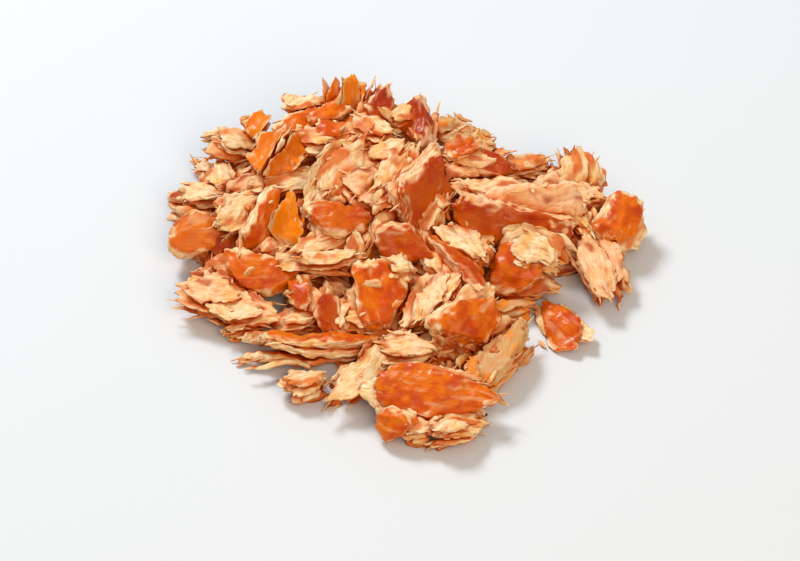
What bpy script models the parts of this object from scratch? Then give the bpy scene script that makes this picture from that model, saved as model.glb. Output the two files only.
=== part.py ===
"""A loose heap of hot smoked salmon flakes, as tipped out on a flat surface.

Metres, +Z up. The origin is in the middle of the heap, on the flat underside that it rests on.
+X is the heap's right as a diner sees it, and -Y is the side nearest the diner.
The heap is a low core of packed flesh with every flake that shows fused on at its true size.
Two flakes lie apart from it and are pieces of their own.
"""

import math
import random
from collections import namedtuple

import bmesh
import bpy
from mathutils import Matrix, Vector, noise

MM = 0.001

# A flake is a bit of one muscle layer. Its own x runs along the fibres, and its own +z is its smoked face.
# place: its middle, size: length, width and thickness, all in mm.
# turn: heading in the plane of the table, pitch of the +x end upwards, and roll of the smoked face
# towards its own -y side, in degrees. curl lifts both ends, bow bends it sideways, in degrees.
Flake = namedtuple("Flake", "kind place size turn curl bow", defaults=(0, 0))

# The packed flesh under the flakes that show, as overlapping lobes: middle, and length, width and height.
CORE = [
    Flake("core", (-18, 27, 0), (78, 60, 40), (0, 0, 0)),
    Flake("core", (30, 23, 0), (72, 40, 23), (-8, 0, 0)),
    Flake("core", (-50, 18, 0), (30, 34, 15), (0, 0, 0)),
    Flake("core", (-3, -8, 0), (74, 46, 16), (0, 0, 0)),
    Flake("core", (10, -42, 0), (30, 44, 10), (0, 0, 0)),
]

FLAKES = [
    # The far edge, from the left.
    Flake("torn", (-50, 47, 14), (22, 13, 7), (-15, 0, -15)),
    Flake("red", (-46, 44, 10), (16, 8, 6), (-30, 0, 55)),
    Flake("amber", (-44, 50, 18), (11, 8, 5), (60, 10, 0)),
    Flake("torn", (-61, 46, 4), (10, 4, 3), (-56, 0, 0)),
    Flake("torn", (-29, 57, 21), (13, 9, 6), (195, 12, 0)),
    Flake("amber", (-16, 56, 25), (18, 15, 7), (82, 50, 0)),
    Flake("torn", (-17, 58, 18), (20, 14, 8), (10, 0, 20)),
    Flake("red", (-6, 52, 24), (15, 9, 6), (70, 35, 30)),
    Flake("torn", (-1, 50, 22), (11, 9, 7), (30, 0, 0)),
    Flake("red", (6, 49, 20), (17, 12, 9), (80, 20, -20)),
    Flake("torn", (15, 52, 15), (16, 10, 7), (-35, 10, 0)),
    Flake("torn", (23, 47, 13), (15, 10, 7), (-25, 0, 10)),
    Flake("torn", (37, 40, 11), (19, 8, 6), (10, 0, 0)),
    Flake("torn", (54, 38, 11), (15, 12, 8), (100, 30, 0)),
    Flake("torn", (61, 38, 6), (10, 4, 4), (80, 20, 0)),
    # The crest, from the left.
    Flake("skin", (-32, 46, 22), (20, 7, 5), (38, 5, 20)),
    Flake("skin", (-22, 50, 24), (15, 6, 5), (30, 0, 10)),
    Flake("torn", (-25, 40, 22), (18, 14, 8), (10, 0, 0)),
    Flake("skin", (-21, 41, 25), (10, 8, 5), (-20, 0, 15)),
    Flake("torn", (-9, 43, 23), (16, 12, 7), (-30, 0, 0)),
    Flake("leaf", (-18, 30, 24), (31, 10, 6), (50, 0, 20), 0, 45),
    Flake("leaf", (-4, 31, 23), (15, 12, 9), (30, 0, 0)),
    Flake("amber", (-37, 32, 22), (22, 14, 6), (58, 5, 12), 10),
    Flake("torn", (-46, 29, 14), (13, 10, 8), (40, 0, 10)),
    Flake("torn", (-54, 36, 9), (14, 11, 8), (100, 0, 0)),
    Flake("leaf", (-34, 24, 20), (19, 10, 6), (15, 0, 20)),
    Flake("leaf", (-10, 18, 22), (20, 13, 6), (-25, 0, 20), 15),
    Flake("torn", (-20, 20, 20), (15, 11, 7), (60, 0, 10)),
    Flake("skin", (3, 20, 22), (30, 15, 12), (56, 8, 50)),
    # The left side.
    Flake("red", (-65, 28, 6), (15, 8, 6), (160, 0, 10)),
    Flake("torn", (-60, 28, 9), (15, 11, 8), (-5, 0, 0)),
    Flake("skin", (-60, 14, 8), (18, 15, 10), (5, -5, 40), -15),
    Flake("red", (-53, 11, 8), (13, 11, 7), (-40, 0, 45)),
    Flake("torn", (-48, 15, 16), (22, 12, 7), (30, 0, 20)),
    Flake("skin", (-43, 9, 16), (27, 9, 7), (63, 18, 50)),
    Flake("amber", (-33, 12, 16), (16, 12, 5), (80, 35, 0)),
    Flake("torn", (-55, -1, 6), (16, 8, 6), (58, 10, 0)),
    Flake("skin", (-42, -5, 9), (27, 13, 8), (-8, 0, 30)),
    Flake("torn", (-52, -14, 6), (26, 15, 10), (-14, 0, 10)),
    Flake("torn", (-48, -22, 3), (10, 7, 6), (20, 0, 0)),
    # The middle.
    Flake("skin", (-18, 8, 19), (24, 12, 8), (12, 0, 12)),
    Flake("torn", (-21, -2, 14), (32, 16, 9), (5, 0, 20), 12),
    Flake("torn", (-38, 3, 12), (10, 8, 6), (30, 0, 0)),
    Flake("torn", (10, 13, 18), (16, 9, 7), (60, 20, 0)),
    Flake("skin", (2, 2, 14), (18, 12, 7), (-10, 0, 30)),
    Flake("torn", (-1, -8, 14), (10, 8, 7), (-35, 0, 0)),
    Flake("leaf", (20, 3, 13), (21, 14, 7), (-60, 0, 0)),
    Flake("skin", (16, -4, 12), (28, 10, 9), (-54, -5, 15)),
    Flake("torn", (11, -4, 11), (15, 10, 8), (-50, 0, 0)),
    # The right side.
    Flake("torn", (21, 36, 16), (25, 14, 9), (-8, 0, 0)),
    Flake("amber", (19, 38, 19), (11, 8, 6), (20, 0, 10)),
    Flake("red", (30, 34, 16), (13, 9, 6), (-20, 0, 20)),
    Flake("torn", (52, 28, 10), (21, 14, 9), (-12, 0, 0)),
    Flake("skin", (31, 15, 15), (43, 14, 11), (-4, -4, 55), 0, 14),
    Flake("torn", (30, 22, 16), (30, 12, 8), (-6, 0, 0)),
    Flake("torn", (54, 17, 11), (17, 11, 8), (-60, 0, 0)),
    Flake("skin", (66, 17, 8), (19, 15, 11), (60, 8, 20)),
    Flake("torn", (60, 1, 7), (27, 14, 8), (-78, -5, 0)),
    Flake("leaf", (41, 0, 15), (23, 15, 6), (-30, 0, 30), -35),
    Flake("skin", (35, -2, 8), (21, 17, 10), (-20, 0, 35)),
    Flake("torn", (33, -13, 3), (15, 8, 5), (5, 0, 0)),
    # The near side, down to the flakes that lie on the table.
    Flake("skin", (-6, -15, 9), (23, 18, 9), (-80, -25, 0)),
    Flake("skin", (-29, -13, 9), (12, 10, 7), (-60, 0, 20)),
    Flake("red", (-22, -19, 7), (15, 7, 5), (-75, -30, 0)),
    Flake("torn", (-31, -19, 4), (13, 10, 7), (20, 0, 0)),
    Flake("torn", (-17, -18, 7), (14, 5, 4), (80, 10, 0)),
    Flake("torn", (-12, -22, 5), (12, 9, 7), (0, 0, 0)),
    Flake("skin", (-26, -32, 5), (46, 10, 8), (-5, 0, -35)),
    Flake("leaf", (-10, -43, 5), (28, 12, 7), (43, 5, 15)),
    Flake("torn", (1, -35, 6), (16, 13, 10), (0, 0, 0)),
    Flake("leaf", (8, -17, 9), (26, 10, 8), (66, 10, 0)),
    Flake("leaf", (13, -15, 11), (20, 8, 6), (60, 8, 0)),
    Flake("skin", (19, -25, 10), (22, 17, 12), (50, 10, 40)),
    Flake("torn", (11, -30, 4), (11, 9, 7), (0, 0, 0)),
    Flake("torn", (27, -26, 5), (15, 9, 7), (20, 0, 0)),
    Flake("torn", (29, -37, 6), (32, 13, 10), (50, 0, 10)),
    Flake("red", (24, -43, 5), (12, 7, 5), (50, 0, 60)),
    Flake("skin", (10, -55, 9), (33, 15, 7), (-4, -3, 28)),
    Flake("skin", (0, -62, 5), (14, 10, 9), (-35, 0, 60)),
    Flake("torn", (5, -64, 4), (10, 9, 8), (0, 0, 0)),
    Flake("leaf", (16, -65, 5), (16, 11, 9), (8, 0, 0)),
]

# The flakes that lie clear of the heap, each a piece of its own.
LOOSE = {
    "loose_flake_left": Flake("torn", (-28, -46, 4), (13, 11, 9), (10, 0, 0)),
    "loose_flake_right": Flake("skin", (48, -19, 4), (21, 9, 4), (-68, 0, 15)),
}

# The flakes that fill the slopes between the ones above are drawn by a rule, and lie on the core's lobes.
# Some are spread evenly over each lobe. Others cover the far slope in level rows, from the right round
# to the left: which lobe, the row's height in mm, its first and last angle, and how many.
FILLERS_PER_LOBE = (6, 3, 3, 4, 0)
FAR_ROWS = [(0, 4, 40, 190, 9), (0, 12, 55, 180, 6), (1, 4, -15, 75, 5)]
FILLER_KINDS = ("torn", "torn", "leaf", "skin")
FILLER_LENGTHS = (13, 20)
FILLER_SEED = 11
GOLDEN_TURN = math.radians(137.508)

# How each kind is formed: bluntness of its ends, squareness of its section, how far its long edges
# lift as a share of its half width, and how much narrower its +x end is.
FORMS = {
    "core": (2.6, 2.2, 0.0, 0.0),
    "skin": (3.0, 2.8, -0.12, 0.15),
    "red": (2.8, 2.6, 0.0, 0.2),
    "amber": (2.6, 2.4, 0.45, 0.1),
    "leaf": (2.4, 2.4, 0.3, 0.15),
    "torn": (2.3, 2.6, 0.0, 0.2),
}
LUMP_SPACING = 9.0
LUMP_HEIGHT = 3.0
LUMP_SEED = 4

# Sides and rings of a flake, by its least length in mm.
CORE_SIDES, CORE_RINGS = 14, 7
FACETS = [(20, 8, 5), (13, 6, 5), (0, 5, 4)]
BELOW_TABLE = 30

FLESH_COLOUR = (0.80, 0.42, 0.20, 1.0)
SMOKED_COLOUR = (0.76, 0.15, 0.015, 1.0)


def clear_scene():
    for obj in list(bpy.data.objects):
        bpy.data.objects.remove(obj)


def flake_point(flake, unit):
    """The place in mm of one point of a flake, from its direction on a unit ball with poles along z."""
    length, width, thick = flake.size
    blunt, square, lift, taper = FORMS[flake.kind]
    along = unit.z
    around = math.atan2(unit.y, unit.x)
    across, up = math.cos(around), math.sin(around)
    end = max(1 - abs(along) ** blunt, 0) ** (1 / blunt)
    corner = (abs(across) ** square + abs(up) ** square) ** (-1 / square)
    y = across * corner * end * (1 - taper * along)
    point = Vector((along * length / 2, y * width / 2, up * corner * end * thick / 2))
    point.z += lift * y * y * width / 2

    own_place = Vector(flake.place) * 3.7
    lumps = noise.noise_vector(point / LUMP_SPACING + own_place)
    point += Vector((lumps.x, lumps.y, lumps.z * thick / width)) * LUMP_HEIGHT

    if flake.curl:
        radius = length / math.radians(flake.curl)
        swing = point.x / radius
        from_centre = radius - point.z
        point = Vector((from_centre * math.sin(swing), point.y, radius - from_centre * math.cos(swing)))
    if flake.bow:
        radius = length / math.radians(flake.bow)
        swing = point.x / radius
        from_centre = radius - point.y
        point = Vector((from_centre * math.sin(swing), radius - from_centre * math.cos(swing), point.z))

    heading, pitch, roll = (math.radians(turn) for turn in flake.turn)
    turned = Matrix.Rotation(heading, 3, "Z") @ Matrix.Rotation(-pitch, 3, "Y") @ Matrix.Rotation(roll, 3, "X")
    return turned @ point + Vector(flake.place)


def filler_on(lobe, angle, height, draw):
    """A filler flake at one angle and height of a lobe, tipped outwards to lie on its slope."""
    half_length, half_width, top = (side / 2 for side in lobe.size)
    out = math.sqrt(1 - (height / top) ** 2)
    place = (
        lobe.place[0] + half_length * out * math.cos(angle),
        lobe.place[1] + half_width * out * math.sin(angle),
        height,
    )
    length = draw.uniform(*FILLER_LENGTHS)
    size = (length, length * draw.uniform(0.5, 0.7), draw.uniform(5, 7))
    heading = math.degrees(angle) + 90 + draw.uniform(-40, 40)
    slope = 50 * out
    return Flake(draw.choice(FILLER_KINDS), place, size, (heading, draw.uniform(-12, 12), slope))


def filler_flakes():
    draw = random.Random(FILLER_SEED)
    found = []
    for lobe, count in zip(CORE, FILLERS_PER_LOBE):
        for i in range(count):
            out = math.sqrt((i + 0.5) / count)
            height = lobe.size[2] / 2 * math.sqrt(1 - 0.9 * out * out)
            found.append(filler_on(lobe, i * GOLDEN_TURN, height, draw))
    for lobe, height, first, last, count in FAR_ROWS:
        for i in range(count):
            angle = math.radians(first + (last - first) * i / (count - 1))
            found.append(filler_on(CORE[lobe], angle, height, draw))
    return found


def flake_object(name, flake, material, collection):
    """One flake as a closed solid: a ball with few sides, its points moved to the flake's form."""
    if flake.kind == "core":
        sides, rings = CORE_SIDES, CORE_RINGS
    else:
        sides, rings = next(facets[1:] for facets in FACETS if flake.size[0] >= facets[0])
    ball = bmesh.new()
    bmesh.ops.create_uvsphere(ball, u_segments=sides, v_segments=rings, radius=1)
    for vert in ball.verts:
        vert.co = flake_point(flake, vert.co) * MM
    bmesh.ops.triangulate(ball, faces=ball.faces)
    mesh = bpy.data.meshes.new(name)
    ball.to_mesh(mesh)
    ball.free()
    mesh.materials.append(material)
    obj = bpy.data.objects.new(name, mesh)
    collection.objects.link(obj)
    return obj


def table_cutter(collection):
    """The block under the table's surface, which gives whatever lies on it a flat underside."""
    block = bmesh.new()
    side = 300 * MM
    bmesh.ops.create_cube(block, size=1)
    bmesh.ops.scale(block, vec=(side, side, BELOW_TABLE * MM), verts=block.verts)
    bmesh.ops.translate(block, vec=(0, 0, -BELOW_TABLE * MM / 2), verts=block.verts)
    mesh = bpy.data.meshes.new("table_cutter")
    block.to_mesh(mesh)
    block.free()
    cutter = bpy.data.objects.new("table_cutter", mesh)
    cutter.hide_render = True
    cutter.display_type = "WIRE"
    collection.objects.link(cutter)
    return cutter


def apply_boolean(obj, operation, other):
    """Joins obj with every object of a collection, or cuts an object out of it, and keeps the result."""
    boolean = obj.modifiers.new("boolean", "BOOLEAN")
    boolean.operation = operation
    boolean.solver = "MANIFOLD"
    if operation == "UNION":
        boolean.operand_type = "COLLECTION"
        boolean.collection = other
    else:
        boolean.object = other
    evaluated = obj.evaluated_get(bpy.context.evaluated_depsgraph_get())
    mesh = bpy.data.meshes.new_from_object(evaluated)
    obj.modifiers.clear()
    obj.data = mesh


def keep_largest_body(obj):
    """Drops loose scraps and sealed hollows, which are islands of the mesh beside the outer skin."""
    skin = bmesh.new()
    skin.from_mesh(obj.data)
    unseen = set(skin.verts)
    islands = []
    while unseen:
        island, edge = set(), [unseen.pop()]
        while edge:
            vert = edge.pop()
            island.add(vert)
            for link in vert.link_edges:
                other = link.other_vert(vert)
                if other in unseen:
                    unseen.remove(other)
                    edge.append(other)
        islands.append(island)
    largest = max(islands, key=len)
    scraps = [vert for island in islands if island is not largest for vert in island]
    bmesh.ops.delete(skin, geom=scraps, context="VERTS")
    skin.to_mesh(obj.data)
    skin.free()


def food_material(name, colour, roughness):
    material = bpy.data.materials.new(name)
    material.use_nodes = True
    shader = material.node_tree.nodes["Principled BSDF"]
    shader.inputs["Base Color"].default_value = colour
    shader.inputs["Roughness"].default_value = roughness
    return material


def build_heap(collection, cutter, flesh):
    pieces = bpy.data.collections.new("heap_pieces")
    collection.children.link(pieces)
    for number, flake in enumerate(CORE[1:] + FLAKES + filler_flakes()):
        flake_object(f"piece_{number}", flake, flesh, pieces)
    heap = flake_object("flake_heap", CORE[0], flesh, collection)
    apply_boolean(heap, "UNION", pieces)
    keep_largest_body(heap)
    apply_boolean(heap, "DIFFERENCE", cutter)
    keep_largest_body(heap)
    for piece in list(pieces.objects):
        bpy.data.objects.remove(piece)
    bpy.data.collections.remove(pieces)


def build_loose_flakes(collection, cutter, flesh, smoked):
    for name, flake in LOOSE.items():
        obj = flake_object(name, flake, smoked if flake.kind == "skin" else flesh, collection)
        apply_boolean(obj, "DIFFERENCE", cutter)


def main():
    clear_scene()
    noise.seed_set(LUMP_SEED)
    collection = bpy.context.scene.collection
    flesh = food_material("salmon_flesh", FLESH_COLOUR, 0.5)
    smoked = food_material("smoked_face", SMOKED_COLOUR, 0.3)
    cutter = table_cutter(collection)
    build_heap(collection, cutter, flesh)
    build_loose_flakes(collection, cutter, flesh, smoked)


main()
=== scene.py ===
import math
import random
from collections import namedtuple

import bmesh
import bpy
from mathutils import Matrix, Vector, noise
from mathutils.bvhtree import BVHTree


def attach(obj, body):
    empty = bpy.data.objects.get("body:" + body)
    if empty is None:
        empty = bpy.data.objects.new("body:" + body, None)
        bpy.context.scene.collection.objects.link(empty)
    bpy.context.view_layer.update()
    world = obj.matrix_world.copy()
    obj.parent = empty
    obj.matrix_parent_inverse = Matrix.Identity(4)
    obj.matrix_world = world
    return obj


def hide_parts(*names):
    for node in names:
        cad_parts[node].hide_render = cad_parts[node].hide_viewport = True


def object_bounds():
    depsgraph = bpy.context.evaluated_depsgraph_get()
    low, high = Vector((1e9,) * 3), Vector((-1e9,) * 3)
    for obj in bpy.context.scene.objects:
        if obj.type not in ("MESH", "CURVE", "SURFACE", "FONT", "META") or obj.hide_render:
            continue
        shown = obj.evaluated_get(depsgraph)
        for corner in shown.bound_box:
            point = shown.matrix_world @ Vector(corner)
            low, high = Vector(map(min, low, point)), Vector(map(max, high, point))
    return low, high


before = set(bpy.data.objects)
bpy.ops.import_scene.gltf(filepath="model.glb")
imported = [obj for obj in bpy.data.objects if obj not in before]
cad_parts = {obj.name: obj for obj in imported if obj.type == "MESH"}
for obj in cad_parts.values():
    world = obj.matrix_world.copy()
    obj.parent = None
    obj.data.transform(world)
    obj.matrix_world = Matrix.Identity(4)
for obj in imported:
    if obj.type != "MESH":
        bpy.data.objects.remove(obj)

cad_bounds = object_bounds()


# The inside of the heap is flesh packed together under the flakes that show, seen only in the gaps
# between them. Its deep red colour, a smoked face in the reddest tone, is painted shade for those gaps.
# It is the same cooked salmon as the flakes, and lies on the table.
# All sizes are in mm, and each flake's own x runs along its fibres.
MM = 0.001
NOISE_SEED = 4

# A flake undulates in broad waves and its surface in small lumps, both lower below the full width.
WAVE_SPACING, WAVE_HEIGHT, FULL_WAVE_WIDTH = 9.0, 1.4, 8
LUMP_SPACING, LUMP_HEIGHT, FULL_LUMP_WIDTH = 2.4, 0.7, 2.5

# The size of a mesh face along the fibres and across them. A piece's coarseness multiplies both.
FACE_LENGTH, FACE_WIDTH = 0.95, 0.48

# No point is closer to the table than the gap. A layer that would sink is lifted till its top is at
# least this far above the gap, or till all of it is clear.
TABLE_GAP, LEAST_RISE = 0.12, 2.5

# place: middle. size: length, width, thickness. turn: heading, pitch and roll in degrees.
# curl lifts both ends and bow bends sideways, in degrees. tone: -1 to 1, from pale brown or amber to
# pink or deep red.
Flake = namedtuple("Flake", "place size turn curl bow tone", defaults=(0, 0, 0))

# layers: whole layers of muscle on top, and face: their share of the thickness. strand: width of the
# bundles of fibres below them, 0 where there are none. blunt, square: exponents of the ends and of the
# section. lift: how far the long edges rise, as a share of half the width. taper: how much narrower the
# +x end is. breaks: how many flat faces it broke along. slant: how oblique both ends are broken, 0
# where they are whole. ragged: how far the torn edges stand out. groove: depth between fibres.
# crumble: height of the crumbs. smoked: 0 for pale flesh, 1 for a smoked upper face with a pale rim,
# more where the rim is smoked too.
Form = namedtuple(
    "Form",
    "layers face strand blunt square lift taper breaks slant ragged groove crumble smoked",
    defaults=(1, 1, 0, 2.5, 2, 0, 0, 0, 0, 0, 0, 0, 0),
)

# The core's smoked face in the reddest tone, with deep grooves, is painted shade for the gaps.
CORE_FORM = Form(blunt=2.6, square=2.2, groove=0.9, crumble=1.4, smoked=1)
CORE_COARSENESS = 2.2
CORE = [
    Flake((-18, 27, 0), (76, 58, 37), (0, 0, 0), 0, 0, 1),
    Flake((30, 23, 0), (68, 38, 20), (-8, 0, 0), 0, 0, 1),
    Flake((-50, 18, 0), (26, 30, 12), (0, 0, 0), 0, 0, 1),
    Flake((-2, -6, 0), (64, 38, 14), (0, 0, 0), 0, 0, 1),
    Flake((12, -42, 0), (24, 40, 8), (0, 0, 0), 0, 0, 1),
]

# Flat breaks: how far they lean, where they lie as a share of the layer's reach, and how much of what
# is past them comes off.
BREAK_LEAN, BREAK_PLACE, BREAK_DEPTH = 0.3, (0.55, 0.9), 0.92

# Torn edges stand out in coarse tufts with fine ones on them. The sides are less torn than the ends.
END_TUFTS = (2.1, 0.9)
SIDE_TUFTS, SIDE_TUFT_HEIGHT, SIDE_SHARE = (2.6, 1.1), 1.5, 0.4
FINE_SHARE = 0.6

# Sizes of what shows on a flake, along the fibres, across them and through the flake.
FIBRES = (5, 1.4, 1.4)
CRUMBS = (2.2, 1.1, 1.1)
STREAKS = (9, 1.3, 1.3)
OIL_PATCHES = (8, 4, 2.5)
FACE_EDGE_SPACING, RIM_SPACING = 3.2, 2.3

# The pale rim starts at this share of a smoked face's half size, and the face is smoother than flesh by
# this share. The underside of a layer is coloured as a groove of this depth: painted shade under it, and
# the oil that gathers there.
RIM_SHARE, FACE_SMOOTHING = 0.93, 0.75
UNDERSIDE_SHADE_AND_OIL = 0.6

# Grooves run where the fibre pattern is below this. Flat sides have a lower share of the crumbs.
GROOVE_EDGE, GROOVE_ROUNDING = 0.26, 0.7
FLAT_CRUMBS = 0.6

# The rise of a long edge goes on past the flake's half width, up to this share of it.
LIFT_REACH = 1.3

# Bundles of fibres: widths and depths as shares of their room, lengths as shares of the flake's there,
# and turns of up to these angles. Each is wider than the step to the next one, so they overlap.
STRAND_FORM = Form(
    blunt=2.4, square=1.6, taper=0.2, breaks=2, slant=1.6, ragged=1.3, groove=0.2, crumble=0.6
)
STRAND_WIDTHS, STRAND_LENGTHS, STRAND_DEPTHS = (0.6, 2.0), (0.5, 1.25), (0.9, 1.6)
STRAND_OVERLAP, STRAND_STEP, ROWS_OVERLAP = 1.35, 0.85, 1.3
STRAND_TURNS = (18, 12, 50)
STRAND_SIDES, STRAND_RING = 9, 1.3

# Whole layers lie askew by up to these angles and by a share of the flake's size.
LAYER_TURNS = (14, 5, 7)
LAYER_SHIFT = 0.12

# Each flake, strand and layer reads its own part of the noise, this many times its place away.
FLAKE_APART, STRAND_APART, LAYERS_APART = 3.7, 2.3, 7.0

noise.seed_set(NOISE_SEED)


def smooth_step(low, high, value):
    share = min(max((value - low) / (high - low), 0.0), 1.0)
    return share * share * (3 - 2 * share)


def breaks_of(size, form, stray):
    """The flat faces that a layer broke along, each as its outward way and how far out it lies."""
    ways = [
        Vector((stray.uniform(-1, 1), stray.uniform(-1, 1), stray.uniform(-BREAK_LEAN, BREAK_LEAN)))
        for _ in range(form.breaks)
    ]
    if form.slant:
        tilt = form.slant
        ways += [Vector((end, stray.uniform(-tilt, tilt), stray.uniform(-tilt, tilt))) for end in (-1, 1)]
    found = []
    for way in ways:
        way.normalize()
        reach = Vector(way[i] * size[i] / 2 for i in range(3)).length
        found.append((way, reach * stray.uniform(*BREAK_PLACE)))
    return found


def straight_point(size, form, breaks, unit, own):
    """A point of a layer before it is bent and laid, from one on a ball with its poles on z."""
    length, width, thick = size
    along, around = unit.z, math.atan2(unit.y, unit.x)
    across, up = math.cos(around), math.sin(around)
    end = max(1 - abs(along) ** form.blunt, 0) ** (1 / form.blunt)
    corner = (abs(across) ** form.square + abs(up) ** form.square) ** (-1 / form.square)
    y = across * corner * end * (1 - form.taper * along)
    point = Vector((along * length / 2, y * width / 2, up * corner * end * thick / 2))
    for way, reach in breaks:
        over = point.dot(way) - reach
        if over > 0:
            point -= way * over * BREAK_DEPTH
    if form.ragged:
        coarse, fine = END_TUFTS
        tuft = noise.noise(Vector((0.3, point.y / coarse, point.z / coarse)) + own)
        tuft += FINE_SHARE * noise.noise(Vector((0.7, point.y / fine, point.z / fine)) - own)
        point.x += math.copysign(along ** 4 * form.ragged * tuft, along)
        coarse, fine = SIDE_TUFTS
        fray = noise.noise(Vector((point.x / coarse, 0.6, point.z / SIDE_TUFT_HEIGHT)) - own)
        fray += FINE_SHARE * noise.noise(Vector((point.x / fine, 0.2, point.z / SIDE_TUFT_HEIGHT)) + own)
        point.y += math.copysign(y ** 4 * form.ragged * SIDE_SHARE * fray, y)
    lump = noise.noise_vector(point / LUMP_SPACING - own) * LUMP_HEIGHT
    return point + lump * min(1, width / FULL_LUMP_WIDTH)


def patterned(point, sizes, shift):
    """Noise from about -1 to 1 at a point, in patches of the given sizes."""
    return noise.noise(Vector((point.x / sizes[0], point.y / sizes[1], point.z / sizes[2])) + shift)


def smoked_share(size, form, point, normal, own, oily):
    """How smoked the surface is at a point, or how oily where it is pale flesh."""
    if not form.smoked:
        return 0.85 * smooth_step(0.14, 0.4, patterned(point, OIL_PATCHES, own) + oily)
    wander = noise.noise(point / FACE_EDGE_SPACING + own)
    upward = smooth_step(0.0, 0.3, normal.z + 0.5 * wander)
    rim = max(abs(point.x) / size[0], abs(point.y) / size[1]) * 2
    inside = RIM_SHARE * form.smoked - rim + 0.4 * noise.noise(point / RIM_SPACING - own)
    within = smooth_step(-0.05, 0.12, inside)
    streak = smooth_step(0.3, 0.55, patterned(point, STREAKS, -own))
    return upward * within * (1 - 0.3 * streak)


def relief(size, form, point, normal, own, oily):
    """How far the surface stands out at a point, how deep it lies in a groove, and how smoked it is."""
    smoked = smoked_share(size, form, point, normal, own, oily)
    bundle = min(1.0, abs(patterned(point, FIBRES, own)) / GROOVE_EDGE) ** GROOVE_ROUNDING
    crumbs = patterned(point, CRUMBS, -own)
    side = FLAT_CRUMBS + (1 - FLAT_CRUMBS) * (1 - abs(normal.z))
    rough = 1 - FACE_SMOOTHING * smoked
    out = form.groove * rough * (bundle - 1) + form.crumble * side * rough * crumbs
    # The groove share is how deep a point lies between fibres or in a crumb's hollow, and the material
    # paints it as shade.
    groove = min(1.0, max(0.7 * (1 - bundle) * rough, -crumbs * form.crumble * side * rough))
    return out, groove, smoked


def turned(flake):
    heading, pitch, roll = (math.radians(turn) for turn in flake.turn)
    level = Matrix.Rotation(heading, 3, "Z") @ Matrix.Rotation(-pitch, 3, "Y")
    return level @ Matrix.Rotation(roll, 3, "X")


def laid(flake, turn, point):
    """Bends a point of the flake by its curl and bow, and puts it where the flake lies."""
    if flake.curl:
        radius = flake.size[0] / math.radians(flake.curl)
        swing = point.x / radius
        reach = radius - point.z
        point = Vector((reach * math.sin(swing), point.y, radius - reach * math.cos(swing)))
    if flake.bow:
        radius = flake.size[0] / math.radians(flake.bow)
        swing = point.x / radius
        reach = radius - point.y
        point = Vector((reach * math.sin(swing), radius - reach * math.cos(swing), point.z))
    return turn @ point + Vector(flake.place)


def way_inside(points):
    """The move that brings a layer back inside the heap's box and up from under the table, in mm."""
    low, high = (Vector(corner) / MM for corner in cad_bounds)
    move = Vector((0, 0, 0))
    for i in range(3):
        move[i] -= max(max(point[i] for point in points) - high[i], 0)
        if i < 2:
            move[i] += max(low[i] - min(point[i] for point in points), 0)
    sunk = TABLE_GAP - min(point.z for point in points)
    hidden = TABLE_GAP + LEAST_RISE - max(point.z for point in points)
    move.z += max(min(sunk, hidden), 0)
    return move


def layer_mesh(layer, flake, form, stray, own, oily, sides, rings):
    """One layer or strand of a flake, from a ball, with its looks and its grain for the material."""
    breaks = breaks_of(layer.size, form, stray)
    layer_turn, flake_turn = turned(layer), turned(flake)
    half_width = flake.size[1] / 2
    wave_height = WAVE_HEIGHT * min(1, flake.size[1] / FULL_WAVE_WIDTH)
    ball = bmesh.new()
    look = ball.verts.layers.float_vector.new("look")
    grain = ball.verts.layers.float_vector.new("grain")
    bmesh.ops.create_uvsphere(ball, u_segments=sides, v_segments=rings, radius=1)
    for vert in ball.verts:
        vert.co = straight_point(layer.size, form, breaks, vert.co, own)
    ball.normal_update()
    for vert in ball.verts:
        out, groove, smoked = relief(layer.size, form, vert.co, vert.normal, own, oily)
        vert[look] = Vector((smoked, groove, layer.tone))
        vert[grain] = vert.co + own
        vert.co += vert.normal * out
    for vert in ball.verts:
        point = laid(layer, layer_turn, vert.co)
        point += noise.noise_vector(point / WAVE_SPACING + Vector(flake.place)) * wave_height
        point.z += form.lift * min(abs(point.y) / half_width, LIFT_REACH) ** 2 * half_width
        vert.co = laid(flake, flake_turn, point)
    move = way_inside([vert.co for vert in ball.verts])
    for vert in ball.verts:
        vert.co += move
        vert.co.z = max(vert.co.z, TABLE_GAP)
    ball.normal_update()
    for vert in ball.verts:
        # Painted shade and oil: each layer's downward sides are coloured as a groove.
        vert[look].y += UNDERSIDE_SHADE_AND_OIL * smooth_step(-0.1, 0.9, -vert.normal.z)
        vert.co *= MM
    for face in ball.faces:
        face.smooth = True
    data = bpy.data.meshes.new("layer")
    ball.to_mesh(data)
    ball.free()
    return data


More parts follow.
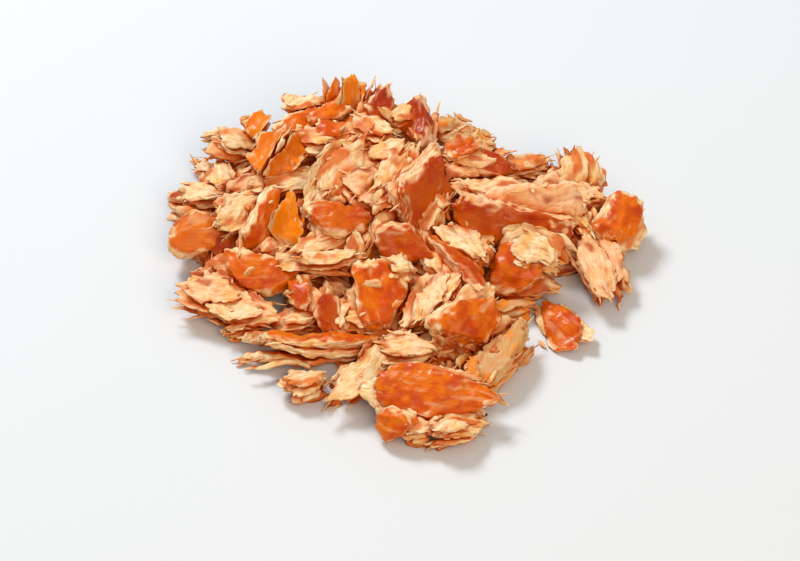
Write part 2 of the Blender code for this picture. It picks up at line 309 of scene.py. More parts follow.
def strand_meshes(flake, form, stray, coarse):
    """The bundles of fibres in rows across the flake, each broken off at its own place."""
    length, width, thick = flake.size
    room = thick * (1 - form.face)
    rows = max(1, round(room / form.strand * ROWS_OVERLAP))
    meshes = []
    for row in range(rows):
        level = (row + 0.5) / rows * room - thick / 2
        row_width = width * math.sqrt(1 - 0.75 * (2 * level / thick) ** 2)
        side = -row_width / 2
        while side < row_width / 2:
            strand = form.strand * stray.uniform(*STRAND_WIDTHS)
            middle = side + strand / 2
            whole = length * math.sqrt(max(1 - 0.8 * (2 * middle / width) ** 2, 0.15))
            reach = whole * stray.uniform(*STRAND_LENGTHS)
            size = (reach, strand * STRAND_OVERLAP, room / rows * stray.uniform(*STRAND_DEPTHS))
            along = stray.uniform(-0.45, 0.45) * (length - reach)
            place = (along, middle, level + stray.uniform(-0.4, 0.4))
            turn = [stray.uniform(-most, most) for most in STRAND_TURNS]
            curl, bow = stray.uniform(-25, 25), stray.uniform(-20, 20)
            layer = Flake(place, size, turn, curl, bow, flake.tone + stray.uniform(-0.35, 0.4))
            strand_form = STRAND_FORM._replace(lift=form.lift, blunt=stray.uniform(1.6, 3.2))
            rings = max(6, round(reach / (STRAND_RING * coarse)) + 3)
            own = Vector(flake.place) * FLAKE_APART + Vector(place) * STRAND_APART
            oily = stray.uniform(-0.35, 0.45)
            meshes.append(layer_mesh(layer, flake, strand_form, stray, own, oily, STRAND_SIDES, rings))
            side += strand * STRAND_STEP
    return meshes


def flake_meshes(flake, form, coarse=1.0):
    """A flake: bundles of fibres side by side, and over them the whole layers that it has.

    grow is a layer's size as a share of the flake's, slack is how loosely it lies, and share is how much
    of its room it fills.
    """
    stray = random.Random(str(flake.place))
    length, width, thick = flake.size
    meshes = strand_meshes(flake, form, stray, coarse) if form.strand else []
    for i in range(form.layers):
        top = i == form.layers - 1
        if form.layers == 1:
            grow, slack, share = 1.0, 0.0, 1.0
        elif form.smoked:
            grow, slack, share = (0.97, 0.1, 0.75) if top else (stray.uniform(1.0, 1.1), 1.0, 0.5)
        else:
            grow, slack, share = (stray.uniform(0.65, 0.92), 1.0, 0.65) if top else (1.0, 0.3, 0.65)
        narrow = 1 - slack * stray.uniform(0, 0.15)
        size = (length * grow, width * grow * narrow, thick * form.face * share)
        rise = thick * (0.5 - form.face + form.face * (i + 0.5) / form.layers)
        shift = [slack * stray.uniform(-LAYER_SHIFT, LAYER_SHIFT) for _ in range(2)]
        place = (shift[0] * length, shift[1] * width, rise)
        turn = [slack * stray.uniform(-most, most) for most in LAYER_TURNS]
        curl, bow = slack * stray.uniform(-20, 35), slack * stray.uniform(-15, 15)
        layer = Flake(place, size, turn, curl, bow, flake.tone + slack * stray.uniform(-0.3, 0.35))
        sides = max(5, round(1.8 * (size[1] + size[2]) / (FACE_WIDTH * coarse)))
        rings = max(6, round(0.5 * math.pi * size[0] / (FACE_LENGTH * coarse)))
        own = Vector(flake.place) * FLAKE_APART + Vector((0, 0, LAYERS_APART * i))
        oily = stray.uniform(-0.28, 0.2)
        layer_form = form if top else form._replace(smoked=0)
        meshes.append(layer_mesh(layer, flake, layer_form, stray, own, oily, sides, rings))
    return meshes


pieces = []


def salmon_piece(name, meshes, material, nodes):
    """Joins the meshes of many flakes to one piece, which rides with the heap in place of its nodes."""
    flakes = [bpy.data.objects.new(name, data) for data in meshes]
    for flake in flakes:
        bpy.context.scene.collection.objects.link(flake)
    piece = flakes[0]
    with bpy.context.temp_override(
        object=piece, active_object=piece, selected_objects=flakes, selected_editable_objects=flakes
    ):
        bpy.ops.object.join()
    piece.data.materials.append(material)
    pieces.append(piece)
    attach(piece, "root")
    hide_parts(*nodes)


def linear(hex_colour):
    """An sRGB hex colour as the linear red, green, blue and alpha that a shader reads."""
    channels = [int(hex_colour[i:i + 2], 16) / 255 for i in (1, 3, 5)]
    return [c / 12.92 if c <= 0.04045 else ((c + 0.055) / 1.055) ** 2.4 for c in channels] + [1.0]


def add_node(material, kind, settings, links):
    """Adds a node: settings are its properties, or values by input, and links are sources by input."""
    node = material.node_tree.nodes.new(kind)
    for key, value in settings.items():
        if isinstance(key, str) and hasattr(node, key):
            setattr(node, key, value)
        else:
            node.inputs[key].default_value = value
    for key, source in links.items():
        material.node_tree.links.new(source, node.inputs[key])
    return node


# Colours of the pale flesh and of the smoked face, with the painted shade in their grooves, and of the
# painted shade in the gaps, standing in for light that comes through flesh.
CREAM, PEACH, AMBER_FLESH, ORANGE_FIBRE = "#F6E6BE", "#F2D298", "#F2B860", "#E69834"
PINK_FLESH, BROWN_FLESH, FLESH_GROOVE_SHADE = "#F6AA80", "#C0945E", "#E06E0A"
ORANGE_FACE, DARK_ORANGE_FACE, RUST_PATCH, RUST_FIBRE = "#E27400", "#D65800", "#BA3000", "#AC3000"
RED_FACE, AMBER_FACE, FACE_GROOVE_SHADE = "#9C2000", "#F29410", "#8A2000"
SHALLOW_GAP_SHADE, DEEP_GAP_SHADE = "#E67400", "#B83000"

# Sizes of the patterns in the material, in mm, and how far the painted shade of a gap looks for flesh
# around it.
FINE_FIBRES = (3, 0.5, 0.5)
BLOTCH, PATCH = 4.5, 9
GAP_SHADE_REACH = 4


def salmon(name, smoked_roughness, coat, fibre_depth):
    """Hot smoked salmon: pale peach flesh with orange fibres, painted shade in its grooves and gaps, and
    an oily smoked face.
    """
    material = bpy.data.materials.new(name)
    material.use_nodes = True
    shader = material.node_tree.nodes["Principled BSDF"]

    def colour_mix(share, first, second):
        """Mixes two colours, each a hex colour or the output of a node."""
        settings = {"data_type": "RGBA", "clamp_factor": True}
        links = {0: share}
        for key, colour in ((6, first), (7, second)):
            if isinstance(colour, str):
                settings[key] = linear(colour)
            else:
                links[key] = colour
        return add_node(material, "ShaderNodeMix", settings, links).outputs[2]

    def share_of(source, low, high, reach=1.0):
        """How far a value is from low to high, as a share from 0 to reach."""
        ramp = add_node(
            material,
            "ShaderNodeMapRange",
            {"interpolation_type": "SMOOTHSTEP", "From Min": low, "From Max": high, "To Max": reach},
            {"Value": source},
        )
        return ramp.outputs["Result"]

    look = add_node(material, "ShaderNodeAttribute", {"attribute_name": "look"}, {})
    parts = add_node(material, "ShaderNodeSeparateXYZ", {}, {0: look.outputs["Vector"]})
    smoked, groove, tone = parts.outputs
    grain = add_node(material, "ShaderNodeAttribute", {"attribute_name": "grain"}, {}).outputs["Vector"]
    # The grain is in mm, so a scale is 1 over a size in mm.
    fibre_scale = tuple(1 / size for size in FINE_FIBRES)
    stretched = add_node(material, "ShaderNodeMapping", {"Scale": fibre_scale}, {"Vector": grain})
    fibres = add_node(
        material,
        "ShaderNodeTexNoise",
        {"Scale": 1.0, "Detail": 3.0, "Roughness": 0.6},
        {"Vector": stretched.outputs["Vector"]},
    ).outputs["Fac"]
    blotches = add_node(
        material,
        "ShaderNodeTexNoise",
        {"Scale": 1 / BLOTCH, "Detail": 3.0, "Roughness": 0.55},
        {"Vector": grain},
    ).outputs["Fac"]
    patches = add_node(
        material,
        "ShaderNodeTexNoise",
        {"Scale": 1 / PATCH, "Detail": 2.0, "Roughness": 0.5},
        {"Vector": grain},
    ).outputs["Fac"]

    flesh = colour_mix(share_of(blotches, 0.36, 0.66), CREAM, PEACH)
    flesh = colour_mix(share_of(patches, 0.52, 0.72, 0.6), flesh, AMBER_FLESH)
    flesh = colour_mix(share_of(fibres, 0.47, 0.66, 0.38), flesh, ORANGE_FIBRE)
    flesh = colour_mix(share_of(tone, 0.0, 1.0, 0.5), flesh, PINK_FLESH)
    flesh = colour_mix(share_of(tone, 0.0, -1.0, 0.7), flesh, BROWN_FLESH)
    # Painted shade: flesh turns deep orange in grooves, crumb hollows and on undersides.
    flesh = colour_mix(share_of(groove, 0.1, 0.95, 0.9), flesh, FLESH_GROOVE_SHADE)
    face = colour_mix(share_of(blotches, 0.38, 0.64), ORANGE_FACE, DARK_ORANGE_FACE)
    face = colour_mix(share_of(patches, 0.45, 0.68, 0.6), face, RUST_PATCH)
    face = colour_mix(share_of(fibres, 0.5, 0.72, 0.5), face, RUST_FIBRE)
    face = colour_mix(share_of(tone, 0.0, 1.0, 0.9), face, RED_FACE)
    face = colour_mix(share_of(tone, 0.0, -1.0, 0.8), face, AMBER_FACE)
    # Painted shade: the smoked face turns deep red in grooves, crumb hollows and on undersides.
    face = colour_mix(share_of(groove, 0.2, 1.0, 0.7), face, FACE_GROOVE_SHADE)
    colour = colour_mix(smoked, flesh, face)
    # Painted shade: narrow gaps, which little light reaches, turn deep orange, standing in for light that
    # passed through flesh.
    open_share = add_node(
        material, "ShaderNodeAmbientOcclusion", {"samples": 6, "Distance": GAP_SHADE_REACH * MM}, {}
    ).outputs["AO"]
    colour = colour_mix(share_of(open_share, 0.9, 0.36, 0.9), colour, SHALLOW_GAP_SHADE)
    colour = colour_mix(share_of(open_share, 0.6, 0.1, 0.9), colour, DEEP_GAP_SHADE)
    material.node_tree.links.new(colour, shader.inputs["Base Color"])

    roughness = add_node(
        material,
        "ShaderNodeMapRange",
        {"To Min": 0.5, "To Max": smoked_roughness},
        {"Value": smoked},
    )
    material.node_tree.links.new(roughness.outputs["Result"], shader.inputs["Roughness"])
    bump = add_node(
        material, "ShaderNodeBump", {"Strength": 0.9, "Distance": fibre_depth * MM}, {"Height": fibres}
    )
    material.node_tree.links.new(bump.outputs["Normal"], shader.inputs["Normal"])
    shader.inputs["IOR"].default_value = 1.38
    shader.inputs["Specular IOR Level"].default_value = 0.2
    shader.inputs["Coat Weight"].default_value = coat
    shader.inputs["Coat Roughness"].default_value = 0.16
    shader.inputs["Subsurface Weight"].default_value = 0.3
    shader.inputs["Subsurface Radius"].default_value = (1.0, 0.5, 0.3)
    shader.inputs["Subsurface Scale"].default_value = 1.2 * MM
    return material


# Cooked salmon flesh is moist and slightly translucent, with a satin surface.
flesh = salmon("Cooked salmon flesh", smoked_roughness=0.42, coat=0.04, fibre_depth=0.45)

packed = [data for lobe in CORE for data in flake_meshes(lobe, CORE_FORM, CORE_COARSENESS)]
salmon_piece("packed_flesh", packed, flesh, ["flake_heap"])


# Pale torn flakes are the inside of the fillet, broken off along and across the muscle. Their long fibres
# run the same way all through, their ends are ragged, and the undersides of their layers are orange with
# oil and painted shade.
TORN_FORM = Form(
    layers=2,
    face=0.55,
    strand=2.4,
    blunt=2.6,
    square=1.8,
    lift=0.1,
    taper=0.15,
    breaks=3,
    ragged=3.6,
    groove=0.13,
    crumble=1.1,
)
LEAF_FORM = TORN_FORM._replace(
    face=0.6, strand=2.2, blunt=2.5, square=1.7, lift=0.3, taper=0.1, breaks=2, ragged=3.4, crumble=0.6
)

TORN_FAR = [
    Flake((-50, 47, 14), (22, 13, 7), (-15, 0, -15)),
    Flake((-61, 46, 4), (10, 4, 3), (-56, 0, 0)),
    Flake((-29, 57, 21), (13, 9, 6), (195, 12, 0)),
    Flake((-17, 58, 18), (20, 14, 8), (10, 0, 20)),
    Flake((-1, 50, 22), (11, 9, 7), (30, 0, 0)),
    Flake((15, 52, 15), (16, 10, 7), (-35, 10, 0), 0, 0, -0.8),
    Flake((23, 47, 13), (15, 10, 7), (-25, 0, 10), 0, 0, -1),
    Flake((37, 40, 11), (19, 8, 6), (10, 0, 0), 0, 0, -0.3),
    Flake((54, 38, 11), (15, 12, 8), (100, 30, 0)),
    Flake((61, 38, 6), (10, 4, 4), (80, 20, 0)),
    Flake((-25, 40, 22), (18, 14, 8), (10, 0, 0)),
    Flake((-9, 43, 23), (16, 12, 7), (-30, 0, 0)),
    Flake((21, 36, 16), (25, 14, 9), (-8, 0, 0), 0, 0, 0.5),
    Flake((52, 28, 10), (21, 14, 9), (-12, 0, 0), 0, 0, 0.6),
    Flake((30, 22, 16), (30, 12, 8), (-6, 0, 0)),
    Flake((54, 17, 11), (17, 11, 8), (-60, 0, 0)),
]
TORN_LEFT = [
    Flake((-3, 22, 23), (28, 10, 8), (56, 8, 20)),
    Flake((-46, 29, 14), (13, 10, 8), (40, 0, 10), 0, 0, 0.5),
    Flake((-54, 36, 9), (14, 11, 8), (100, 0, 0)),
    Flake((-20, 20, 20), (15, 11, 7), (60, 0, 10)),
    Flake((-60, 28, 9), (15, 11, 8), (-5, 0, 0)),
    Flake((-48, 15, 16), (22, 12, 7), (30, 0, 20)),
    Flake((-55, -1, 6), (16, 8, 6), (58, 10, 0)),
    Flake((-48, -22, 3), (10, 7, 6), (20, 0, 0)),
    Flake((-38, 3, 12), (10, 8, 6), (30, 0, 0)),
]
TORN_NEAR = [
    Flake((10, 13, 18), (16, 9, 7), (60, 20, 0)),
    Flake((-1, -8, 14), (10, 8, 7), (-35, 0, 0), 0, 0, 0.3),
    Flake((11, -4, 11), (15, 10, 8), (-50, 0, 0)),
    Flake((60, 1, 7), (27, 14, 8), (-78, -5, 0), 0, 0, 0.8),
    Flake((33, -13, 3), (15, 8, 5), (5, 0, 0), 0, 0, -1),
    Flake((-31, -19, 4), (13, 10, 7), (20, 0, 0)),
    Flake((-17, -18, 7), (14, 5, 4), (80, 10, 0)),
    Flake((-12, -22, 5), (12, 9, 7), (0, 0, 0)),
    Flake((1, -35, 6), (16, 13, 10), (0, 0, 0)),
    Flake((11, -30, 4), (11, 9, 7), (0, 0, 0)),
    Flake((27, -26, 5), (15, 9, 7), (20, 0, 0), 0, 0, -0.6),
    Flake((29, -37, 6), (32, 13, 10), (50, 0, 10), 0, 0, -0.7),
    Flake((5, -64, 4), (10, 9, 8), (0, 0, 0)),
]
LEAVES = [
    Flake((-54, -12, 7), (22, 13, 7), (-4, 0, 10), 20, 0, 0.6),
    Flake((-47, -17, 5), (20, 12, 8), (-24, 0, 15), 15, 0, 0.5),
    Flake((-20, 27, 24), (38, 9, 5), (56, 0, 35), 10, -40, 0),
    Flake((-4, 31, 23), (15, 12, 9), (30, 0, 0), 0, 0, 0.4),
    Flake((-34, 24, 20), (19, 10, 6), (15, 0, 20)),
    Flake((-10, 18, 22), (20, 13, 6), (-25, 0, 20), 15, 0, 0.6),
    Flake((20, 3, 13), (21, 14, 7), (-60, 0, 0)),
    Flake((41, 0, 15), (23, 13, 6), (-30, 0, 30), -35, -60),
    Flake((-24, -5, 14), (27, 8, 7), (2, 0, 0), 15),
    Flake((-23, 0, 15), (27, 8, 6), (8, 3, 20), 10),
    Flake((-10, 3, 16), (14, 5, 5), (50, 35, 0)),
    Flake((-14, -2, 16), (12, 5, 4), (75, 40, 0)),
    Flake((-10, -43, 5), (28, 12, 7), (43, 5, 15)),
    Flake((8, -17, 9), (26, 10, 8), (66, 10, 0)),
    Flake((13, -15, 11), (20, 8, 6), (60, 8, 0)),
    Flake((16, -65, 5), (16, 11, 9), (8, 0, 0)),
]

# Fibres that hang on to a flake are noted while it is made, and are made further down. They leave it
# along its grain, leaning outward and astray by these shares, and stand off by a share of their length.
SHRED_FORM = Form(blunt=2.4, square=2.2, taper=0.4)
SHRED_LENGTH, SHRED_WIDTH, SHRED_BEND = (1.8, 6.5), (0.4, 1.2), 45
SHRED_LEAN, SHRED_STRAY, SHRED_STAND = 0.4, 0.35, 0.2
# The thickness of a shred or a chip, as a share of its width.
FLATNESS = (0.35, 0.6)
SCATTER_SEED = 23
draw = random.Random(SCATTER_SEED)
shreds = []


def note_shreds(flake, meshes, count):
    """Notes shreds that lift off the torn ends of a flake along its grain."""
    grain_way = turned(flake) @ Vector((1, 0, 0))
    middle = Vector(flake.place)
    for _ in range(count):
        data = draw.choice(meshes)
        root = draw.choice(data.vertices).co / MM
        outward = (root - middle).normalized()
        way = grain_way if outward.dot(grain_way) > 0 else -grain_way
        stray = Vector((draw.uniform(-1, 1), draw.uniform(-1, 1), draw.uniform(-1, 1)))
        way = (way + outward * SHRED_LEAN + stray * SHRED_STRAY).normalized()
        length, width = draw.uniform(*SHRED_LENGTH), draw.uniform(*SHRED_WIDTH)
        heading, pitch = math.degrees(math.atan2(way.y, way.x)), math.degrees(math.asin(way.z))
        turn = (heading, pitch, draw.uniform(0, 360))
        size = (length, width, width * draw.uniform(*FLATNESS))
        curl, bow = (draw.uniform(-SHRED_BEND, SHRED_BEND) for _ in range(2))
        place = tuple(root + way * length * SHRED_STAND)
        shreds.append(Flake(place, size, turn, curl, bow, flake.tone))


def flake_piece(name, flakes, form, material, shred_share, coarse=1.0):
    """Makes a piece of many flakes, and notes their shreds: this many for each square mm of a flake."""
    made = []
    for flake in flakes:
        meshes = flake_meshes(flake, form, coarse)
        made += meshes
        pale = meshes[:-1] if form.smoked else meshes
        note_shreds(flake, pale, round(flake.size[0] * (flake.size[1] + flake.size[2]) * shred_share))
    salmon_piece(name, made, material, ["flake_heap"])


flake_piece("torn_flakes_far", TORN_FAR, TORN_FORM, flesh, 0.08)
flake_piece("torn_flakes_left", TORN_LEFT, TORN_FORM, flesh, 0.08)
flake_piece("torn_flakes_near", TORN_NEAR, TORN_FORM, flesh, 0.08)
flake_piece("leaf_flakes", LEAVES, LEAF_FORM, flesh, 0.07)


# Flakes with a smoked face come from the outside of the fillet, which the smoke and the oil turned a
# glossy orange. Their other sides are torn flesh. Thin amber ones are the fat layer under the skin.
SKIN_FORM = Form(
    layers=2,
    face=0.75,
    strand=2.4,
    blunt=4.5,
    square=4.0,
    lift=-0.1,
    taper=0.15,
    breaks=5,
    ragged=1.6,
    groove=0.35,
    crumble=0.5,
    smoked=1,
)
POINTED_FORM = SKIN_FORM._replace(blunt=2.0, square=3.0, taper=0.6, breaks=2, ragged=1.0, smoked=1.3)
RED_FORM = SKIN_FORM._replace(
    strand=2.2, blunt=4.0, square=3.6, lift=0, taper=0.2, breaks=4, ragged=2.0, groove=0.4, crumble=0.6
)
AMBER_FORM = Form(
    face=0.5,
    strand=2.2,
    blunt=2.8,
    lift=0.85,
    taper=0.1,
    breaks=2,
    ragged=1.8,
    groove=0.3,
    crumble=0.3,
    smoked=1,
)

SKIN_FAR = [
    Flake((-32, 46, 22), (20, 7, 5), (38, 5, 20)),
    Flake((-22, 50, 24), (15, 6, 5), (30, 0, 10)),
    Flake((-21, 41, 25), (10, 8, 5), (-20, 0, 15), 0, 0, 0.2),
    # The next two flakes' deeper red tone is partly their own colour, partly painted shade on faces
    # turned from the key light.
    Flake((5, 19, 21), (30, 16, 11), (56, 8, 62), 0, 0, 0.55),
    Flake((31, 14, 14), (45, 15, 11), (-4, -4, 66), 0, 14, 0.5),
    Flake((66, 17, 8), (19, 15, 11), (60, 8, 20)),
    Flake((35, -2, 8), (22, 17, 10), (-20, 0, 35), 0, 0, 0.25),
]
SKIN_NEAR = [
    Flake((-60, 14, 8), (18, 15, 10), (5, -5, 40), -15, 0, -0.3),
    Flake((-43, 9, 16), (27, 9, 7), (63, 18, 50), 0, 0, 0.3),
    Flake((-42, -5, 9), (27, 13, 8), (-8, 0, 30), 0, 0, 0.15),
    Flake((-18, 8, 19), (24, 12, 8), (12, 0, 12), 0, 0, 0.3),
    # The next two flakes' deeper red tone is partly their own colour, partly painted shade on faces
    # turned from the key light.
    Flake((2, 2, 14), (20, 13, 7), (-10, 0, 50), 0, 0, 0.5),
    Flake((16, -5, 12), (29, 12, 9), (-54, -5, -30), 0, 0, 0.45),
    Flake((-6, -15, 9), (23, 18, 9), (-80, -25, 0)),
    Flake((-29, -13, 9), (12, 10, 7), (-60, 0, 20), 0, 0, 0.2),
    Flake((-26, -32, 5), (46, 10, 8), (-5, 0, -35)),
    Flake((19, -25, 10), (24, 17, 12), (50, 10, 40), 0, 0, 0.2),
    Flake((0, -62, 5), (14, 10, 9), (-35, 0, 60)),
]
POINTED = [
    Flake((12, -54, 9), (39, 15, 6), (-8, -3, 30)),
]
RED = [
    Flake((-46, 44, 10), (16, 8, 6), (-30, 0, 55), 0, 0, 0.3),
    Flake((-6, 52, 24), (15, 9, 6), (70, 35, 30), 0, 0, 1),
    Flake((6, 49, 20), (17, 12, 9), (80, 20, -20), 0, 0, 0.8),
    Flake((-37, 31, 22), (19, 7, 4), (62, 5, 5), 0, 0, 0.3),
    Flake((-65, 28, 6), (15, 8, 6), (160, 0, 10), 0, 0, 0.7),
    Flake((-53, 11, 8), (13, 11, 7), (-40, 0, 45), 0, 0, 0.8),
    Flake((30, 34, 16), (13, 9, 6), (-20, 0, 20), 0, 0, 0.7),
    Flake((-22, -19, 7), (15, 7, 5), (-75, -30, 0), 0, 0, 0.6),
    Flake((24, -43, 5), (12, 7, 5), (50, 0, 60), 0, 0, 0.2),
]
AMBER = [
    Flake((-44, 50, 18), (11, 8, 5), (60, 10, 0), 0, 0, -0.5),
    Flake((-20, 57, 23), (16, 5, 4), (95, 48, 0), 0, 0, -0.5),
    Flake((-16, 56, 25), (18, 6, 4), (84, 56, 20), 10, 0, -0.7),
    Flake((-12, 55, 24), (16, 5, 4), (70, 46, -20), 0, 0, -0.3),
    Flake((-39, 33, 23), (22, 7, 6), (68, 5, -20), 15, 0, -0.5),
    Flake((-35, 31, 23), (22, 7, 6), (57, 5, 35), 15, 0, -0.4),
    Flake((-33, 12, 16), (16, 9, 5), (80, 35, 0), 0, 0, -0.8),
    Flake((19, 38, 19), (11, 8, 6), (20, 0, 10), 0, 0, 0),
]

# The smoked face is a thin film of oil over the flesh, so it has a sharper gloss.
smoked_face = salmon("Oily smoked salmon face", smoked_roughness=0.32, coat=0.2, fibre_depth=0.3)

flake_piece("smoked_flakes_far", SKIN_FAR, SKIN_FORM, smoked_face, 0.05)
flake_piece("smoked_flakes_near", SKIN_NEAR, SKIN_FORM, smoked_face, 0.05)
flake_piece("pointed_smoked_flake", POINTED, POINTED_FORM, smoked_face, 0.03)
flake_piece("red_flakes", RED, RED_FORM, smoked_face, 0.01)
flake_piece("amber_flakes", AMBER, AMBER_FORM, smoked_face, 0.01)


# Smaller torn flakes fill the slopes between the ones above, and cover the far side down to the table.
# A rule spreads them over each lobe of the core and along level rows on the far slope. A row has its
# lobe, its height, its first and last angle in degrees, and its count.
FILLERS_PER_LOBE = (30, 18, 8, 16, 6)
FAR_ROWS = [(0, 4, 30, 200, 12), (0, 11, 30, 190, 11), (1, 4, -25, 95, 8)]
FILLER_LENGTHS, FILLER_WIDTH_SHARES, FILLER_DEPTHS = (9, 17), (0.5, 0.7), (4, 7)
FILLER_COARSENESS = 1.35
GOLDEN_TURN = math.radians(137.508)


def filler_on(lobe, angle, height):
    """A small flake on a lobe of the core, at an angle round it and a height, leaning on the slope."""
    half_length, half_width, top = (side / 2 for side in lobe.size)
    out = math.sqrt(1 - (height / top) ** 2)
    place = (
        lobe.place[0] + half_length * out * math.cos(angle),
        lobe.place[1] + half_width * out * math.sin(angle),
        height,
    )
    length = draw.uniform(*FILLER_LENGTHS)
    size = (length, length * draw.uniform(*FILLER_WIDTH_SHARES), draw.uniform(*FILLER_DEPTHS))
    heading = math.degrees(angle) + 90 + draw.uniform(-60, 60)
    turn = (heading, draw.uniform(-15, 15), 50 * out + draw.uniform(-15, 15))
    return Flake(place, size, turn, 0, 0, draw.uniform(-0.5, 0.5))


fillers = []
for lobe, count in zip(CORE, FILLERS_PER_LOBE):
    for i in range(count):
        out = math.sqrt((i + 0.5) / count)
        height = lobe.size[2] / 2 * math.sqrt(1 - 0.95 * out * out)
        fillers.append(filler_on(lobe, i * GOLDEN_TURN, height))
for lobe, height, first, last, count in FAR_ROWS:
    for i in range(count):
        angle = math.radians(first + (last - first) * i / (count - 1))
        fillers.append(filler_on(CORE[lobe], angle, height))
torn_fillers = fillers[::2] + fillers[1::4]
flake_piece("small_torn_flakes", torn_fillers, TORN_FORM, flesh, 0.02, FILLER_COARSENESS)
flake_piece("small_smoked_flakes", fillers[3::4], SKIN_FORM, smoked_face, 0.01, FILLER_COARSENESS)


# Shreds are single fibres and thin bundles of them that came loose as the fillet was flaked. They lift
# off the torn sides, tapered and bent.
SHRED_COARSENESS = 2.2
shred_meshes = [data for shred in shreds for data in flake_meshes(shred, SHRED_FORM, SHRED_COARSENESS)]
salmon_piece("shreds", shred_meshes, flesh, ["flake_heap"])


# Crumbs and chips broke off the flakes as well, and lie all over them, pale ones more than smoked ones.
# Each lies flat on what is under it. Some fell on the table round the heap.
CHIP_FORM = Form(blunt=3.0, square=2.6, taper=0.3, breaks=2, slant=1.2, ragged=1.2, crumble=0.9)
SMOKED_CHIP_FORM = CHIP_FORM._replace(smoked=1)
PALE_CHIPS, SMOKED_CHIPS = 36, 8
CHIP_LENGTH, CHIP_WIDTH = (2.5, 7.0), (0.2, 0.45)
CHIP_BEND, CHIP_COARSENESS = 40, 1.2
# Chips drop from this far above the heap, at a slant. This share of those that miss it stay on the
# table, within this reach of it.
DROP_HEIGHT, DROP_SLANT = 20, 0.7
TABLE_SHARE, TABLE_REACH = 0.5, 5.0
depsgraph = bpy.context.evaluated_depsgraph_get()
trees = [BVHTree.FromObject(piece, depsgraph) for piece in pieces]


def chip_at(place, normal):
    """A chip that lies on the surface at a place, with its flat side against it."""
    stray = Vector((draw.uniform(-1, 1), draw.uniform(-1, 1), draw.uniform(-1, 1)))
    way = (stray - normal * stray.dot(normal) * 0.6).normalized()
    heading, pitch = math.atan2(way.y, way.x), math.asin(way.z)
    level = Matrix.Rotation(heading, 3, "Z") @ Matrix.Rotation(-pitch, 3, "Y")
    roll = math.atan2(-normal.dot(level.col[1]), normal.dot(level.col[2])) + draw.uniform(-0.5, 0.5)
    length = draw.uniform(*CHIP_LENGTH)
    width = length * draw.uniform(*CHIP_WIDTH)
    size = (length, width, width * draw.uniform(*FLATNESS))
    turn = [math.degrees(angle) for angle in (heading, pitch, roll)]
    curl, tone = draw.uniform(-CHIP_BEND, CHIP_BEND), draw.uniform(-0.4, 0.5)
    return Flake(place + normal * size[2] * 0.3, size, turn, curl, 0, tone)


def scattered(count):
    """Chips dropped over the heap's box, each on the first thing that it meets."""
    low, high = (Vector(corner) / MM for corner in cad_bounds)
    chips = []
    while len(chips) < count:
        start = Vector((draw.uniform(low.x, high.x), draw.uniform(low.y, high.y), high.z + DROP_HEIGHT))
        slant = [draw.uniform(-DROP_SLANT, DROP_SLANT) for _ in range(2)]
        way = Vector((slant[0], slant[1], -1)).normalized()
        hits = [tree.ray_cast(start * MM, way) for tree in trees]
        hits = [hit for hit in hits if hit[0] is not None]
        if hits:
            nearest = min(hits, key=lambda hit: hit[3])
            chips.append(chip_at(nearest[0] / MM, nearest[1]))
            continue
        place = start + way * (start.z / -way.z)
        beside = min(tree.find_nearest(place * MM)[3] for tree in trees) / MM
        if beside < TABLE_REACH and draw.random() < TABLE_SHARE:
            chips.append(chip_at(place, Vector((0, 0, 1))))
    return chips


for name, count, form, material in (
    ("pale_chips", PALE_CHIPS, CHIP_FORM, flesh),
    ("smoked_chips", SMOKED_CHIPS, SMOKED_CHIP_FORM, smoked_face),
):
    chips = [data for chip in scattered(count) for data in flake_meshes(chip, form, CHIP_COARSENESS)]
    salmon_piece(name, chips, material, ["flake_heap"])


# Two flakes lie apart from the heap, a crumbly pale one on its near left and a flat smoked one on its
# right. They came off the same fillet.
LOOSE_LEFT = Flake((-28, -46, 4), (13, 11, 9), (10, 0, 0))
LOOSE_RIGHT = Flake((49, -20, 3), (22, 11, 3.5), (118, 0, -15), 0, 0, 0.1)
pale_meshes = flake_meshes(LOOSE_LEFT, TORN_FORM)
salmon_piece("loose_pale_flake", pale_meshes, flesh, ["loose_flake_left"])
smoked_meshes = flake_meshes(LOOSE_RIGHT, POINTED_FORM)
salmon_piece("loose_smoked_flake", smoked_meshes, smoked_face, ["loose_flake_right"])


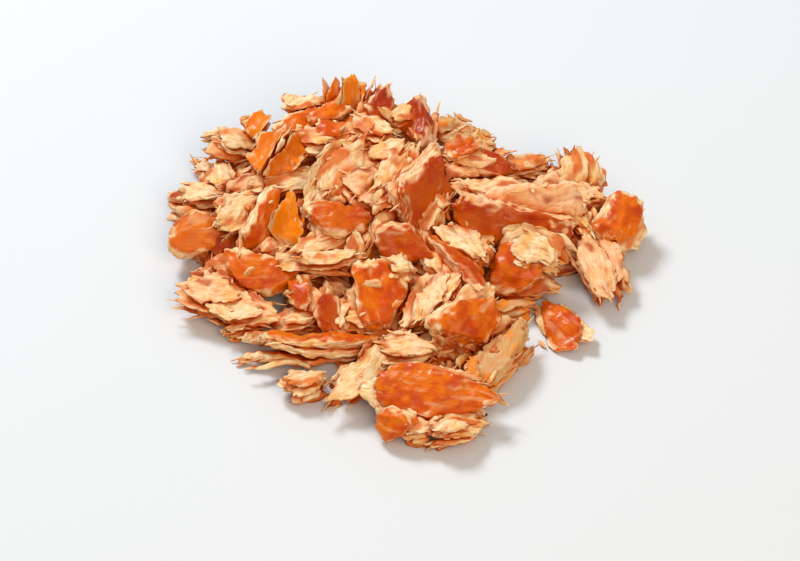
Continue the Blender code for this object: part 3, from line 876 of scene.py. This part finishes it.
# The studio: a pale matt floor, a soft white light from the far left, a wide warm one from the near
# right that fills the shadows, and white light all round. The camera looks down at 45 degrees.
FLOOR_REACH = 2.0
floor_mesh = bmesh.new()
bmesh.ops.create_grid(floor_mesh, x_segments=1, y_segments=1, size=FLOOR_REACH)
floor_data = bpy.data.meshes.new("floor")
floor_mesh.to_mesh(floor_data)
floor_mesh.free()
floor = bpy.data.objects.new("floor", floor_data)
bpy.context.scene.collection.objects.link(floor)
# Paper with a little blue in it, so that it looks neutral in the warm light.
paper = bpy.data.materials.new("Matt white paper")
paper.use_nodes = True
paper.node_tree.nodes["Principled BSDF"].inputs["Base Color"].default_value = linear("#D8E0E8")
paper.node_tree.nodes["Principled BSDF"].inputs["Roughness"].default_value = 0.9
floor_data.materials.append(paper)

world = bpy.data.worlds.new("white studio")
bpy.context.scene.world = world
world.use_nodes = True
world.node_tree.nodes["Background"].inputs["Color"].default_value = linear("#FFFFFF")
world.node_tree.nodes["Background"].inputs["Strength"].default_value = 0.4


def soft_light(name, way, distance, side, watts, colour):
    """A square light that points at the heap from the direction way, with its sizes in metres."""
    light = bpy.data.lights.new(name, "AREA")
    light.size = side
    light.energy = watts
    light.color = linear(colour)[:3]
    lamp = bpy.data.objects.new(name, light)
    lamp.location = Vector(way).normalized() * distance
    lamp.rotation_euler = Vector(way).to_track_quat("Z", "Y").to_euler()
    bpy.context.scene.collection.objects.link(lamp)


soft_light("key light", (-0.45, 0.6, 0.95), distance=1.3, side=0.35, watts=12.5, colour="#FFFFFF")
soft_light("fill light", (0.35, -0.8, 0.8), distance=1.5, side=1.0, watts=12.5, colour="#FFE2BC")

CAMERA_ELEVATION = math.radians(45)
CAMERA_DISTANCE = 1300
AIM = (0, 1.9, 0)
LENS, SENSOR_WIDTH = 193, 36
camera_data = bpy.data.cameras.new("camera")
camera_data.lens = LENS
camera_data.sensor_width = SENSOR_WIDTH
camera = bpy.data.objects.new("camera", camera_data)
bpy.context.scene.collection.objects.link(camera)
look_from = Vector((0, -math.cos(CAMERA_ELEVATION), math.sin(CAMERA_ELEVATION)))
camera.location = (Vector(AIM) + look_from * CAMERA_DISTANCE) * MM
camera.rotation_euler = look_from.to_track_quat("Z", "Y").to_euler()
bpy.context.scene.camera = camera
bpy.context.scene.view_settings.view_transform = "Standard"
